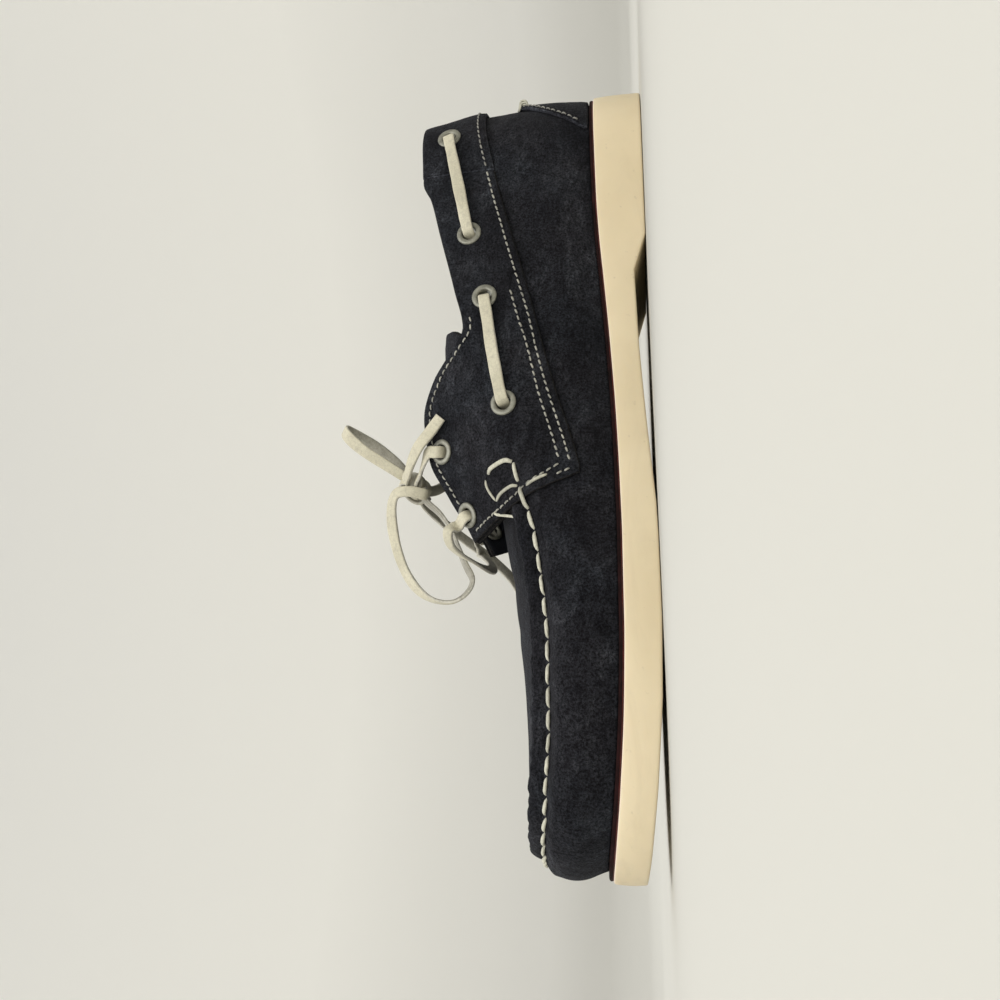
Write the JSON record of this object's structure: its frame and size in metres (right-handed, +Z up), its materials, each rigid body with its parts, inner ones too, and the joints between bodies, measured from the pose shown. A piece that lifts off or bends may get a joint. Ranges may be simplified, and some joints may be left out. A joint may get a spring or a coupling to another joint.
{
  "type": "boat shoe",
  "caption": "Right suede moccasin deck shoe with a raised hand-sewn apron seam, collar and flap lacing through metal eyelets, and a flat cream rubber sole.",
  "frame": {"origin": "centre of the bounding box's bottom face, on the floor under the sole, measured without the bow", "axes": "+Y towards the toe, +X towards the shoe's outer (lateral) side, +Z up"},
  "size_m": [0.1036, 0.2984, 0.1193],
  "materials": {
    "suede": "napped dark navy suede, matt",
    "cream_rubber": "satin cream rubber",
    "red_line": "matt dark red",
    "lining_leather": "smooth tan leather",
    "rawhide": "matt off-white rawhide lace",
    "eyelet_metal": "satin grey metal"
  },
  "bodies": {
    "root": {"outsole": "cream_rubber", "rand": "red_line", "insole": "lining_leather", "tongue": "suede", "upper": "suede", "collar_band_inner": "suede", "collar_band_outer": "suede", "heel_tab": "suede", "heel_patch": "suede", "eyelet_inner_1": "eyelet_metal", "eyelet_inner_2": "eyelet_metal", "eyelet_inner_3": "eyelet_metal", "eyelet_inner_4": "eyelet_metal", "eyelet_inner_5": "eyelet_metal", "eyelet_inner_6": "eyelet_metal", "eyelet_outer_1": "eyelet_metal", "eyelet_outer_2": "eyelet_metal", "eyelet_outer_3": "eyelet_metal", "eyelet_outer_4": "eyelet_metal", "eyelet_outer_5": "eyelet_metal", "eyelet_outer_6": "eyelet_metal", "lace_bar_inner_rear": "rawhide", "lace_bar_inner_front": "rawhide", "lace_bar_outer_rear": "rawhide", "lace_bar_outer_front": "rawhide", "lace_rise_inner": "rawhide", "lace_rise_outer": "rawhide", "lace_cross": "rawhide", "lace_knot": "rawhide", "lace_loop_up": "rawhide", "lace_loop_down": "rawhide", "lace_end_up": "rawhide", "lace_end_down": "rawhide"}
  },
  "joints": []
}
